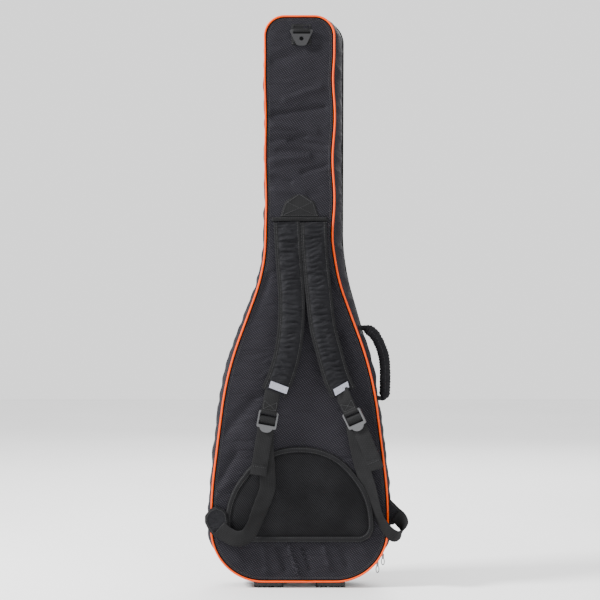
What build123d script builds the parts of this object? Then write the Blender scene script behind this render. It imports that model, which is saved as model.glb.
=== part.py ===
from build123d import *
from math import cos, hypot, radians, sin
import os

os.makedirs("parts", exist_ok=True)

# Padded gig bag for an electric bass, zipped shut and standing upright on its rubber feet.
# Millimetres. +Z runs up to the head, -Y is the back panel that carries the shoulder straps,
# +Y is the front with the pockets and +X is the side with the carry handle. z = 0 is the
# soles of the feet, and x = 0 and y = 0 are the middle of the bag.

# ---------------------------------------------------------------- driving dimensions
BACK_Y = -45.0          # outside of the back panel
FRONT_Y = 45.0          # outside of the front panel
ZIP_Y = 20.0            # plane of the main zip, where the front lid parts from the back shell
SKIN = 1.2              # outer fabric
FOAM = 12.0             # closed-cell padding
LINING = 1.0            # plush lining
LAYER_GAP = 0.2         # between one layer and the next
PARTING = 0.2           # from the zip plane to the zip tape on either side
ZIP_TAPE = 8.0          # width of half a zip tape
PIPING_R = 2.4
WEBBING = 1.6           # thickness of the webbing
WEBBING_WIDTH = 35.0
STRAP_WIDTH = 54.0
SWING_GAP = 0.5         # clearance beside parts that swing

# Corners of the bag's right half from the base to the head: half width, height, corner radius.
SEAM = [(187, 14, 110), (187, 200, 800), (155, 455, 700), (71, 683, 400), (74, 1213, 42)]
# The same corners where the side wall is widest, at the main zip.
ZIP_LINE = [(191, 12, 114), (191, 200, 800), (163, 457, 700), (82, 687, 400), (84, 1214, 50)]

HINGE_LOW, HINGE_HIGH = 132.0, 330.0    # unzipped stretch on the left side, where the lid hinges
WALL_FOAM = 10.0                        # the side wall's padding is thinner than the panels'
WALL_FOAM_OUTSIDE = 2.0                 # depth at which it starts, behind the zip tape
WALL_FOAM_INSIDE = WALL_FOAM_OUTSIDE + WALL_FOAM


# ---------------------------------------------------------------- shared shapes
def rounded_outline(y, stations, inset=0.0):
    """Face in the plane at y, symmetric about x = 0, through the stations of its right half."""
    right = [(width, height) for width, height, _ in stations]
    left = [(-width, height) for width, height in reversed(right)]
    radii = [radius for _, _, radius in stations]
    with BuildSketch(Plane.XZ.offset(-y)) as outline:
        with BuildLine():
            FilletPolyline(*right, *left, radius=radii + radii[::-1], close=True)
        make_face()
        if inset:
            offset(amount=-inset, kind=Kind.INTERSECTION)
    return outline.sketch


def wall_solid(seam_y, depth, mode=Mode.ADD):
    """Solid from a panel's seam to the main zip, as wide as the wall is at this depth."""
    seam_face = rounded_outline(seam_y, SEAM, PIPING_R + depth).face()
    zip_face = rounded_outline(ZIP_Y, ZIP_LINE, depth).face()
    loft(sections=[seam_face, zip_face], ruled=True, mode=mode)


def side_wall(seam_y, outer, inner, y_low, y_high):
    """Layer of the side wall between two depths and two planes, solid where inner is None."""
    wall_solid(seam_y, outer)
    if inner is not None:
        wall_solid(seam_y, inner, Mode.SUBTRACT)
    split(bisect_by=Plane.XZ.offset(-y_low), keep=Keep.BOTTOM)
    split(bisect_by=Plane.XZ.offset(-y_high), keep=Keep.TOP)


def flat_layer(inset, y_low, y_high):
    """One flat layer of a panel between two planes."""
    extrude(rounded_outline(y_high, SEAM, inset), amount=y_high - y_low)


def cut_hinge_stretch(mode):
    """Box round the stretch of the left side where the lid hinges."""
    middle = (HINGE_LOW + HINGE_HIGH) / 2
    with Locations((-SEAM[0][0], ZIP_Y, middle)):
        Box(60, 4 * ZIP_TAPE, HINGE_HIGH - HINGE_LOW, mode=mode)


def slab(points, y_low, y_high, mode=Mode.ADD):
    """Plate with a straight-edged outline in X and Z."""
    with BuildSketch(Plane.XZ.offset(-y_high)) as outline:
        with BuildLine():
            Polyline(*points, close=True)
        make_face()
    extrude(outline.sketch, amount=y_high - y_low, mode=mode)


def ribbon(route, width, y_low, y_high):
    """Band of constant width along a route of points in X and Z."""
    left, right = [], []
    last = len(route) - 1
    for index, (x, z) in enumerate(route):
        before = route[max(index - 1, 0)]
        after = route[min(index + 1, last)]
        run, rise = after[0] - before[0], after[1] - before[1]
        half = width / 2 / hypot(run, rise)
        left.append((x - rise * half, z + run * half))
        right.append((x + rise * half, z - run * half))
    with BuildSketch(Plane.XZ.offset(-y_high)) as band:
        with BuildLine():
            Spline(*left)
            Line(left[-1], right[-1])
            Spline(*reversed(right))
            Line(right[0], left[0])
        make_face()
    extrude(band.sketch, amount=y_high - y_low)


def finish(name, piece):
    """Label a finished piece and write it."""
    piece.part.label = name
    export_step(piece.part, f"parts/{name}.step")


# ---------------------------------------------------------------- back shell and front lid
# Each shell has a skin, padding and lining. The wall layers stop short of the zip plane.
SHELLS = {"back": (BACK_Y, 1), "front": (FRONT_Y, -1)}
for side, (seam_y, inward) in SHELLS.items():
    skin_y = seam_y + inward * SKIN
    foam_y = skin_y + inward * LAYER_GAP
    lining_y = foam_y + inward * FOAM
    cavity_y = lining_y + inward * LINING
    tape_y = ZIP_Y - inward * ZIP_TAPE
    edge_y = ZIP_Y - inward * PARTING
    rim_y = ZIP_Y - inward * (PARTING + 2 * SWING_GAP)

    with BuildPart() as panel_fabric:
        flat_layer(PIPING_R, *sorted((seam_y, skin_y)))
    finish(f"{side}_panel_fabric", panel_fabric)

    with BuildPart() as panel_padding:
        flat_layer(PIPING_R + SKIN + LAYER_GAP, *sorted((foam_y, lining_y)))
    finish(f"{side}_panel_padding", panel_padding)

    with BuildPart() as wall_fabric:
        side_wall(seam_y, 0, SKIN, *sorted((skin_y, tape_y)))
    finish(f"{side}_gusset_fabric", wall_fabric)

    with BuildPart() as wall_padding:
        side_wall(seam_y, WALL_FOAM_OUTSIDE, WALL_FOAM_INSIDE, *sorted((lining_y, rim_y)))
    finish(f"{side}_gusset_padding", wall_padding)

    with BuildPart() as cavity:
        wall_solid(seam_y, WALL_FOAM_INSIDE + LAYER_GAP + LINING)
        split(bisect_by=Plane.XZ.offset(-cavity_y), keep=Keep.BOTTOM if inward > 0 else Keep.TOP)

    with BuildPart() as lining:
        side_wall(seam_y, WALL_FOAM_INSIDE + LAYER_GAP, None, *sorted((lining_y, rim_y)))
        add(cavity.part, mode=Mode.SUBTRACT)
    finish(f"{side}_lining", lining)

    with BuildPart() as zip_tape:
        side_wall(seam_y, 0, SKIN, *sorted((tape_y, edge_y)))
        cut_hinge_stretch(Mode.SUBTRACT)
    finish(f"main_zip_{side}", zip_tape)

    with BuildPart() as piping:
        with BuildLine(Plane.XZ.offset(-seam_y)):
            corners = [(width, height) for width, height, _ in SEAM]
            mirrored = [(-width, height) for width, height in reversed(corners)]
            radii = [radius for _, _, radius in SEAM]
            seam = FilletPolyline(*corners, *mirrored, radius=radii + radii[::-1], close=True)
        with BuildSketch(Plane(origin=seam @ 0, z_dir=seam % 0)):
            Circle(PIPING_R)
        sweep()
    finish(f"{side}_piping", piping)

# The cloth hinge of the lid: the unzipped stretch of the left side wall.
with BuildPart() as lid_hinge_cloth:
    side_wall(BACK_Y, 0, SKIN, ZIP_Y - ZIP_TAPE, ZIP_Y - PARTING)
    cut_hinge_stretch(Mode.INTERSECT)
finish("lid_hinge_cloth", lid_hinge_cloth)

# ---------------------------------------------------------------- feet
# Each foot's sole fills the space up to the bottom of the side wall.
FOOT_LENGTH, FOOT_DEPTH = 62.0, 56.0
FOOT_X, FOOT_Y, FOOT_CORNER = 66.0, -12.0, 8.0
RIB_HEIGHT, RIB_WIDTH, RIB_PITCH, RIB_COUNT = 4.0, 5.0, 9.5, 7
SOLE_TOP = 20.0
for side, x in {"left": -FOOT_X, "right": FOOT_X}.items():
    with BuildPart() as foot:
        with BuildSketch(Plane.XY.offset(RIB_HEIGHT)):
            with Locations((x, FOOT_Y)):
                RectangleRounded(FOOT_LENGTH, FOOT_DEPTH, FOOT_CORNER)
        extrude(amount=SOLE_TOP - RIB_HEIGHT)
        wall_solid(BACK_Y, -LAYER_GAP, Mode.SUBTRACT)
        with BuildSketch(Plane.XY):
            with Locations((x, FOOT_Y)):
                with GridLocations(RIB_PITCH, 0, RIB_COUNT, 1):
                    Rectangle(RIB_WIDTH, FOOT_DEPTH - 2 * FOOT_CORNER)
        extrude(amount=RIB_HEIGHT)
    finish(f"foot_{side}", foot)

# ---------------------------------------------------------------- lumbar pad on the back panel
LUMBAR_DOME = [(158, 98, 34), (158, 192, 160), (74, 300, 140)]
PAD_BORDER, MESH_THICKNESS, BORDER_THICKNESS = 12.0, 7.0, 8.0

with BuildPart() as lumbar_mesh:
    extrude(rounded_outline(BACK_Y, LUMBAR_DOME, PAD_BORDER + LAYER_GAP), amount=MESH_THICKNESS)
finish("lumbar_mesh", lumbar_mesh)

with BuildPart() as lumbar_border:
    extrude(rounded_outline(BACK_Y, LUMBAR_DOME), amount=BORDER_THICKNESS)
    inside = rounded_outline(BACK_Y, LUMBAR_DOME, PAD_BORDER)
    extrude(inside, amount=BORDER_THICKNESS, mode=Mode.SUBTRACT)
finish("lumbar_border", lumbar_border)

# ---------------------------------------------------------------- strap yoke
YOKE_Z, YOKE_THICKNESS = 787.0, 2.0
YOKE_CORNERS = [(-41, YOKE_Z), (41, YOKE_Z), (31, 819), (0, 840), (-31, 819)]
YOKE_BAR_LENGTH, YOKE_BAR_DEPTH, YOKE_BAR_HEIGHT = 118.0, 3.0, 9.0
with BuildPart() as yoke_patch:
    slab(YOKE_CORNERS, BACK_Y - YOKE_THICKNESS, BACK_Y)
finish("yoke_patch", yoke_patch)

with BuildPart() as yoke_bar:
    with Locations((0, BACK_Y, YOKE_Z - 0.5)):
        bar_align = (Align.CENTER, Align.MAX, Align.MAX)
        Box(YOKE_BAR_LENGTH, YOKE_BAR_DEPTH, YOKE_BAR_HEIGHT, align=bar_align)
finish("yoke_bar", yoke_bar)

# ---------------------------------------------------------------- hanger at the head
HANGER_X, HANGER_Z = 4.0, 1181.0        # middle of the ring's slot
HANGER_PATCH, HANGER_PATCH_WIDTH, HANGER_PATCH_HEIGHT = 1.6, 42.0, 44.0
HANGER_PATCH_TOP = HANGER_Z + 15.0
with BuildPart() as hanger_patch:
    with Locations((HANGER_X, BACK_Y, HANGER_PATCH_TOP)):
        patch_align = (Align.CENTER, Align.MAX, Align.MAX)
        Box(HANGER_PATCH_WIDTH, HANGER_PATCH, HANGER_PATCH_HEIGHT, align=patch_align)
finish("hanger_patch", hanger_patch)

RING_BAR_R, RING_THICKNESS = 2.2, 4.0
RING_Y = BACK_Y - HANGER_PATCH - 5.2
RING_CORNERS = [(-26, 2.2), (26, 2.2), (9.5, -32), (-9.5, -32)]
RING_ROUNDING = [3, 3, 8, 8]
RING_BAR_LENGTH = 42.0
RING_SLOT_WIDTH, RING_SLOT_LOW = 37.4, 6.8
HANG_HOLE_R, HANG_HOLE_DROP = 4.5, 17.0
LOOP_INSIDE = RING_BAR_R + SWING_GAP
LOOP_WIDTH, LOOP_STITCHED, LOOP_FOLD = 36.0, 26.0, 2.0
with BuildPart() as hanger_webbing:
    with BuildSketch(Plane.YZ.offset(HANGER_X)):
        with Locations((RING_Y, HANGER_Z)):
            Circle(LOOP_INSIDE + WEBBING)
            Circle(LOOP_INSIDE, mode=Mode.SUBTRACT)
    extrude(amount=LOOP_WIDTH / 2, both=True)
    with Locations((HANGER_X, BACK_Y - HANGER_PATCH, HANGER_Z - LOOP_STITCHED / 2 + WEBBING)):
        stitched_align = (Align.CENTER, Align.MAX, Align.CENTER)
        Box(LOOP_WIDTH, LOOP_FOLD, LOOP_STITCHED, align=stitched_align)
finish("hanger_webbing", hanger_webbing)

with BuildPart() as hanger_ring:
    with BuildSketch(Plane.XZ.offset(-RING_Y - RING_THICKNESS / 2)):
        with BuildLine():
            corners = [(HANGER_X + x, HANGER_Z + z) for x, z in RING_CORNERS]
            FilletPolyline(*corners, radius=RING_ROUNDING, close=True)
        make_face()
        with Locations((HANGER_X, HANGER_Z - RING_SLOT_LOW)):
            slot_align = (Align.CENTER, Align.MIN)
            Rectangle(RING_SLOT_WIDTH, 3 * RING_SLOT_LOW, align=slot_align, mode=Mode.SUBTRACT)
        with Locations((HANGER_X, HANGER_Z - HANG_HOLE_DROP)):
            Circle(HANG_HOLE_R, mode=Mode.SUBTRACT)
    extrude(amount=RING_THICKNESS)
    with Locations(Location((HANGER_X, RING_Y, HANGER_Z), (0, 90, 0))):
        Cylinder(RING_BAR_R, RING_BAR_LENGTH)
finish("hanger_ring", hanger_ring)

# ---------------------------------------------------------------- shoulder straps
STRAP_TOP = YOKE_Z - 12.0
STRAP_ROUTES = {
    "left": [(-28.5, 800), (-23, 704), (-17, 621), (-18, 555), (-26, 496), (-40, 448), (-54, 415)],
    "right": [(28.5, 800), (33, 704), (41, 621), (49, 555), (64, 496), (78, 448), (93, 415)],
}
# The strap seen from the side: each height with the Y of its inner and outer face.
STRAP_INNER = [(-47.6, 800), (-50, 704), (-54, 621), (-56.5, 540), (-57.5, 410)]
STRAP_OUTER = [(-52, 800), (-62, 704), (-67, 621), (-69.5, 540), (-69, 410)]
PATCH_THICKNESS = 0.8


def strap_profile(inner, outer, mode):
    """Closed side profile between two curves of (y, z), extruded across the bag."""
    with BuildSketch(Plane.YZ) as profile:
        with BuildLine():
            Spline(*inner)
            Line(inner[-1], outer[-1])
            Spline(*reversed(outer))
            Line(outer[0], inner[0])
        make_face()
    extrude(profile.sketch, amount=200, both=True, mode=mode)


PATCH_CORNERS = {
    "left": [(-60, 441), (-23, 427), (-27.5, 413), (-64.5, 427)],
    "right": [(71, 423), (101, 440), (104.5, 427.5), (75.5, 409)],
}
for side, route in STRAP_ROUTES.items():
    with BuildPart() as strap_pad:
        ribbon(route, STRAP_WIDTH, -100, 0)
        strap_profile(STRAP_INNER, STRAP_OUTER, Mode.INTERSECT)
        split(bisect_by=Plane.XY.offset(STRAP_TOP), keep=Keep.BOTTOM)
    finish(f"strap_pad_{side}", strap_pad)

    with BuildPart() as reflector:
        slab(PATCH_CORNERS[side], -100, BACK_Y)
        proud = [(y - PATCH_THICKNESS, z) for y, z in STRAP_OUTER]
        strap_profile(STRAP_OUTER, proud, Mode.INTERSECT)
    finish(f"reflective_patch_{side}", reflector)

# ---------------------------------------------------------------- ladder-lock buckles
LOCK_WIDTH, LOCK_HEIGHT, LOCK_THICKNESS = 42.0, 36.0, 5.0
LOCK_RAIL, LOCK_BAR_R, LOCK_CORNER = 3.2, 2.4, 4.0
LOCK_TAB_WIDTH, LOCK_TAB_DROP = 28.0, 11.0
MIDDLE_BAR_HEIGHT, MIDDLE_BAR_THICKNESS = 5.0, 3.0
BAR_UP = LOCK_HEIGHT / 2 - LOCK_BAR_R   # from the buckle's middle up to its top bar
LOCK_PLANES = {
    "left": Plane(origin=(-67.5, -64.5, 358.5), x_dir=(0.983, 0, -0.184), z_dir=(0, -1, 0)),
    "right": Plane(origin=(115.5, -67, 361), x_dir=(0.835, -0.375, 0.402), z_dir=(-0.338, -0.927, -0.163)),
}
TAIL_LENGTH, TAIL_TUCK = 116.0, 14.0     # the tail starts this far up inside the buckle
STUB_LENGTH = 27.0                      # from the buckle's top bar up into the strap's end
for side, plane in LOCK_PLANES.items():
    top_bar = Plane(origin=plane.from_local_coords((0, BAR_UP, 0)), x_dir=plane.z_dir, z_dir=plane.x_dir)
    with BuildPart() as ladder_lock:
        with BuildSketch(plane.offset(-LOCK_THICKNESS / 2)):
            RectangleRounded(LOCK_WIDTH, LOCK_HEIGHT, LOCK_CORNER)
            with Locations((0, -LOCK_HEIGHT / 2 + 2)):
                Ellipse(LOCK_TAB_WIDTH / 2, LOCK_TAB_DROP)
            with Locations((0, LOCK_RAIL)):
                inside = LOCK_WIDTH - 2 * LOCK_RAIL
                RectangleRounded(inside, LOCK_HEIGHT - 2 * LOCK_RAIL, 1.5, mode=Mode.SUBTRACT)
        extrude(amount=LOCK_THICKNESS)
        with BuildSketch(plane.offset(-MIDDLE_BAR_THICKNESS / 2)):
            with Locations((0, -1)):
                Rectangle(LOCK_WIDTH - LOCK_RAIL, MIDDLE_BAR_HEIGHT)
        extrude(amount=MIDDLE_BAR_THICKNESS)
        with BuildSketch(top_bar):
            Circle(LOCK_BAR_R)
        extrude(amount=LOCK_WIDTH / 2 - LOCK_RAIL / 2, both=True)
    finish(f"ladder_lock_{side}", ladder_lock)

    with BuildPart() as tail:
        with BuildSketch(plane.offset(-LOCK_THICKNESS / 2 - WEBBING)):
            with Locations((0, TAIL_TUCK - LOCK_HEIGHT / 2)):
                tail_align = (Align.CENTER, Align.MAX)
                Rectangle(WEBBING_WIDTH - 1, TAIL_LENGTH, align=tail_align)
        extrude(amount=WEBBING - LAYER_GAP)
    finish(f"webbing_tail_{side}", tail)

    with BuildPart() as strap_webbing:
        with BuildSketch(top_bar):
            Circle(LOCK_BAR_R + SWING_GAP + WEBBING)
            Circle(LOCK_BAR_R + SWING_GAP, mode=Mode.SUBTRACT)
        extrude(amount=WEBBING_WIDTH / 2 - 1, both=True)
        with BuildSketch(plane.offset(-WEBBING / 2)):
            with Locations((0, BAR_UP + LOCK_BAR_R + SWING_GAP + WEBBING / 2)):
                stub_align = (Align.CENTER, Align.MIN)
                Rectangle(WEBBING_WIDTH - 2, STUB_LENGTH, align=stub_align)
        extrude(amount=WEBBING)
    finish(f"strap_webbing_{side}", strap_webbing)

# ---------------------------------------------------------------- lower webbing and wings
LOWER_Y = BACK_Y - BORDER_THICKNESS - 1.4   # just clear of the lumbar pad
LOWER_ROUTES = {
    "left": [(-72, 338), (-80, 265), (-74, 228), (-88, 175), (-105, 118)],
    "right": [(117, 338), (128, 290), (143, 235), (163, 175), (190, 122)],
}
WING_CORNERS = {
    "left": [(-196, 178), (-160, 172), (-151, 148), (-154, 118), (-172, 104), (-194, 112), (-211, 146)],
    "right": [(191, 192), (197, 186), (222, 158), (215, 118), (200, 104), (191, 112)],
}
WING_Y = {"left": (-57, -53.4), "right": (-44, -38)}
for side, route in LOWER_ROUTES.items():
    with BuildPart() as lower_webbing:
        ribbon(route, WEBBING_WIDTH, LOWER_Y - WEBBING, LOWER_Y)
    finish(f"lower_webbing_{side}", lower_webbing)

    with BuildPart() as wing:
        slab(WING_CORNERS[side], *WING_Y[side])
    finish(f"strap_wing_{side}", wing)

# ---------------------------------------------------------------- carry handle
HANDLE_Y = -12.0
HANDLE_R = 10.5
HANDLE_TOP, HANDLE_FOOT = (130, 552.5), (173.5, 400.5)
HANDLE_ROUTE = [HANDLE_TOP, (142, 552), (170, 530), (183, 490), (183.5, 440), (181, 399), HANDLE_FOOT]
HANDLE_BENDS = [8, 30, 60, 200, 5]
CORE_WIDTH, CORE_THICKNESS = 16.0, 3.0
GRIP_START, GRIP_END = 0.085, 0.93      # how far along the webbing the padded grip runs
with BuildPart() as handle_webbing:
    with BuildLine(Plane.XZ.offset(-HANDLE_Y)):
        core = FilletPolyline(*HANDLE_ROUTE, radius=HANDLE_BENDS)
    with BuildSketch(Plane(origin=core @ 0, x_dir=(0, 1, 0), z_dir=core % 0)):
        Rectangle(CORE_WIDTH, CORE_THICKNESS)
    sweep()
finish("handle_webbing", handle_webbing)

with BuildPart() as handle_grip:
    with BuildLine():
        grip_line = core.trim(GRIP_START, GRIP_END)
        add(grip_line)
    with BuildSketch(Plane(origin=grip_line @ 0, x_dir=(0, 1, 0), z_dir=grip_line % 0)):
        Circle(HANDLE_R)
        Rectangle(CORE_WIDTH, CORE_THICKNESS, mode=Mode.SUBTRACT)
    sweep()
finish("handle_grip", handle_grip)

# ---------------------------------------------------------------- main zip sliders
# Both are parked on the lower right corner, where the zip is an arc about CORNER.
CORNER_R = ZIP_LINE[0][2]
CORNER = (ZIP_LINE[0][0] - CORNER_R, ZIP_LINE[0][1] + CORNER_R)
SLIDER_ANGLES = {"lower": -39.5, "upper": -29.6}
SLIDER_LENGTH, SLIDER_WIDTH, SLIDER_THICKNESS, SLIDER_CORNER = 11.0, 8.0, 2.0, 2.0
LOOP_HEIGHT, LOOP_ACROSS, LOOP_ALONG = 2.2, 3.0, 6.4    # loop on a slider that holds its pull
PULL_LENGTH, PULL_WIDTH, PULL_THICKNESS = 30.0, 8.4, 1.6
PULL_STEM_WIDTH, PULL_STEM_TOP, PULL_RING_HEIGHT, PULL_RIM = 5.0, 4.8, 16.0, 2.0


def pull_outline(plane):
    """Zip pull hanging from the plane's origin, a stem with an oval ring at its end."""
    with BuildSketch(plane) as outline:
        with Locations((0, -PULL_STEM_TOP)):
            stem = PULL_LENGTH - PULL_RING_HEIGHT + PULL_RIM
            Rectangle(PULL_STEM_WIDTH, stem - PULL_STEM_TOP, align=(Align.CENTER, Align.MAX))
        with Locations((0, PULL_RING_HEIGHT / 2 - PULL_LENGTH)):
            Ellipse(PULL_WIDTH / 2, PULL_RING_HEIGHT / 2)
            hole = (PULL_WIDTH / 2 - PULL_RIM, PULL_RING_HEIGHT / 2 - PULL_RIM)
            Ellipse(*hole, mode=Mode.SUBTRACT)
    return outline.sketch


for name, angle in SLIDER_ANGLES.items():
    out = (cos(radians(angle)), 0, sin(radians(angle)))
    seat = CORNER_R + SWING_GAP
    origin = (CORNER[0] + seat * out[0], ZIP_Y, CORNER[1] + seat * out[2])
    base = Plane(origin=origin, x_dir=(0, 1, 0), z_dir=out)
    with BuildPart() as slider:
        with BuildSketch(base):
            RectangleRounded(SLIDER_WIDTH, SLIDER_LENGTH, SLIDER_CORNER)
        extrude(amount=SLIDER_THICKNESS)
        with BuildSketch(base.offset(SLIDER_THICKNESS)):
            Rectangle(LOOP_ACROSS, LOOP_ALONG)
        extrude(amount=LOOP_HEIGHT)
    finish(f"zip_slider_{name}", slider)

    pivot = base.from_local_coords((0, 0, SLIDER_THICKNESS + LOOP_HEIGHT))
    with BuildPart() as pull:
        hanging = Plane(origin=pivot, x_dir=(1, 0, 0), z_dir=(0, -1, 0))
        extrude(pull_outline(hanging.offset(-PULL_THICKNESS / 2)), amount=PULL_THICKNESS)
    finish(f"zip_pull_{name}", pull)

# ---------------------------------------------------------------- pockets on the lid
POCKET_DEPTH, POCKET_ROUNDING = 14.0, 4.0
BODY_POCKET = [(150, 40, 80), (152, 200, 400), (128, 430, 40)]
NECK_POCKET = [(54, 700, 12), (54, 1090, 12)]
POCKET_ZIP = 12.0                       # width of a pocket's zip
# Each pocket's outline, the middle and size of its zip, and its slider's place and size.
POCKETS = {
    "body": (BODY_POCKET, (0, 400), (220, POCKET_ZIP), (100, 400), (SLIDER_LENGTH, SLIDER_WIDTH)),
    "neck": (NECK_POCKET, (-38, 895), (POCKET_ZIP, 340), (-38, 1055), (SLIDER_WIDTH, SLIDER_LENGTH)),
}
for name, (stations, zip_centre, zip_size, slider_at, slider_size) in POCKETS.items():
    face_y = FRONT_Y + POCKET_DEPTH
    with BuildPart() as pocket:
        extrude(rounded_outline(face_y, stations), amount=POCKET_DEPTH)
        fillet(pocket.faces().sort_by(Axis.Y)[-1].edges(), radius=POCKET_ROUNDING)
    finish(f"{name}_pocket", pocket)

    with BuildPart() as pocket_zip:
        with BuildSketch(Plane.XZ.offset(-face_y - WEBBING)):
            with Locations(zip_centre):
                RectangleRounded(*zip_size, SLIDER_CORNER)
        extrude(amount=WEBBING)
    finish(f"{name}_pocket_zip", pocket_zip)

    slider_y = face_y + WEBBING + SWING_GAP
    with BuildPart() as pocket_slider:
        with BuildSketch(Plane.XZ.offset(-slider_y - SLIDER_THICKNESS)):
            with Locations(slider_at):
                RectangleRounded(*slider_size, SLIDER_CORNER)
        extrude(amount=SLIDER_THICKNESS)
    finish(f"{name}_pocket_slider", pocket_slider)

    pull_y = slider_y + SLIDER_THICKNESS + SWING_GAP + PULL_THICKNESS
    with BuildPart() as pocket_pull:
        pivot = (slider_at[0], pull_y, slider_at[1])
        facing = Plane(origin=pivot, x_dir=(1, 0, 0), z_dir=(0, -1, 0))
        extrude(pull_outline(facing), amount=PULL_THICKNESS)
    finish(f"{name}_pocket_pull", pocket_pull)

# ---------------------------------------------------------------- inside the back shell
FLOOR_Y = BACK_Y + SKIN + LAYER_GAP + FOAM + LINING
CRADLE_Z, CRADLE_HEIGHT, CRADLE_WIDTH, CRADLE_DEPTH = 740.0, 70.0, 104.0, 30.0
NOTCH_WIDTH, NOTCH_HEIGHT = 60.0, 40.0
TIE_WIDTH = 25.0
ENDPIN_WIDTH, ENDPIN_DEPTH, ENDPIN_HEIGHT, ENDPIN_Z, ENDPIN_CORNER = 90.0, 28.0, 20.0, 42.0, 6.0
on_floor = (Align.CENTER, Align.MIN, Align.CENTER)
with BuildPart() as neck_cradle:
    with BuildSketch(Plane.XY.offset(CRADLE_Z)):
        with Locations((0, FLOOR_Y + LAYER_GAP)):
            Rectangle(CRADLE_WIDTH, CRADLE_DEPTH, align=(Align.CENTER, Align.MIN))
        with Locations((0, FLOOR_Y + CRADLE_DEPTH + 4)):
            SlotOverall(NOTCH_WIDTH, NOTCH_HEIGHT, mode=Mode.SUBTRACT)
    extrude(amount=CRADLE_HEIGHT)
finish("neck_cradle", neck_cradle)

with BuildPart() as neck_tie:
    with Locations((0, FLOOR_Y + CRADLE_DEPTH + 2 * LAYER_GAP, CRADLE_Z + CRADLE_HEIGHT / 2)):
        Box(CRADLE_WIDTH, WEBBING, TIE_WIDTH, align=on_floor)
finish("neck_tie", neck_tie)

with BuildPart() as endpin_pad:
    with Locations((0, FLOOR_Y + 2 * LAYER_GAP, ENDPIN_Z)):
        Box(ENDPIN_WIDTH, ENDPIN_DEPTH, ENDPIN_HEIGHT, align=on_floor)
    fillet(endpin_pad.edges().filter_by(Axis.Y), radius=ENDPIN_CORNER)
finish("endpin_pad", endpin_pad)
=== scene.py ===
import math

import bmesh
import bpy
import numpy as np
from mathutils import Matrix, Vector, noise


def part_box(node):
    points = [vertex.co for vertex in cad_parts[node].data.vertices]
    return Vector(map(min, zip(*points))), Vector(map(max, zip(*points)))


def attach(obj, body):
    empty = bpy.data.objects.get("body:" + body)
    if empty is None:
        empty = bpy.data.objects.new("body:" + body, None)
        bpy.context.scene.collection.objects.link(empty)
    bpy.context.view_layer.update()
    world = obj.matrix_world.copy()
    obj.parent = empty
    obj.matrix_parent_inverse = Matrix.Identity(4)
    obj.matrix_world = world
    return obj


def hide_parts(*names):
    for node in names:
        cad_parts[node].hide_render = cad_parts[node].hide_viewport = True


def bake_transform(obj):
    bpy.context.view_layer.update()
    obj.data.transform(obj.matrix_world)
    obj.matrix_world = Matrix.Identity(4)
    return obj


# Looks of a padded bass gig bag. Metres, in the CAD frame: +Z up to the head, -Y the back panel.
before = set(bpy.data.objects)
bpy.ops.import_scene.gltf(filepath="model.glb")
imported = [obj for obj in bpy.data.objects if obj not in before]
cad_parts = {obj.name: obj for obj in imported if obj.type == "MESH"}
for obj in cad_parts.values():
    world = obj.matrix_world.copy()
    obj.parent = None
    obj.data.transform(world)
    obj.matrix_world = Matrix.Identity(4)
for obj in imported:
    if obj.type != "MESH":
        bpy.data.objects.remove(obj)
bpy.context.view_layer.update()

# ---------- places and sizes
BACK, FRONT, ZIP = -0.045, 0.045, 0.020
PIPE_R = 0.0024         # the seam allowance that the piping takes up
CORD_R = 0.0021         # the orange cord itself
WALL = 0.0132           # skin, padding and lining of the side wall
PANEL = 0.0144          # the same for a panel
ZIP_TAPE = 0.008        # width of the tape on each side of the zip
WEB_WIDTH, WEB_THICK = 0.034, 0.0016
# Half width, height and corner radius of the right half, at the piping and at the zip.
SEAM = [(0.187, 0.014, 0.110), (0.187, 0.200, 0.800), (0.155, 0.455, 0.700),
        (0.071, 0.683, 0.400), (0.074, 1.213, 0.042)]
ZIP_LINE = [(0.191, 0.012, 0.114), (0.191, 0.200, 0.800), (0.163, 0.457, 0.700),
            (0.082, 0.687, 0.400), (0.084, 1.214, 0.050)]
SAMPLES = 420           # points along each half of an outline
ZIP_SAMPLES = 520       # the same along the zip's coil and hinge
LEAN = 0.17             # how far the neck's side walls lean to +X, per metre of depth
LEAN_LOW, LEAN_HIGH = 0.45, 0.70


# ---------- outlines and surfaces
def unit(v):
    """The vector at length one."""
    return v / np.linalg.norm(v)


def units(rows):
    """Each row of vectors at length one."""
    return rows / np.linalg.norm(rows, axis=1)[:, None]


def smooth(low, high, value):
    """Eased step from 0 at low to 1 at high."""
    t = np.clip((np.asarray(value, float) - low) / (high - low), 0, 1)
    return t * t * (3 - 2 * t)


def resample(path, samples):
    """Points evenly spaced along a path."""
    path = np.asarray(path, float)
    along = np.concatenate([[0], np.cumsum(np.linalg.norm(np.diff(path, axis=0), axis=1))])
    at = np.linspace(0, along[-1], samples)
    return np.column_stack([np.interp(at, along, path[:, k]) for k in range(path.shape[1])])


def spline(points, samples):
    """Smooth line through the points."""
    p = np.asarray(points, float)
    p = np.vstack([2 * p[0] - p[1], p, 2 * p[-1] - p[-2]])
    line = []
    for a, b, c, d in zip(p, p[1:], p[2:], p[3:]):
        for t in np.linspace(0, 1, 24, endpoint=False):
            line.append(0.5 * (2 * b + (c - a) * t + (2 * a - 5 * b + 4 * c - d) * t ** 2
                               + (3 * b - a - 3 * c + d) * t ** 3))
    return resample(line + [p[-2]], samples)


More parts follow.
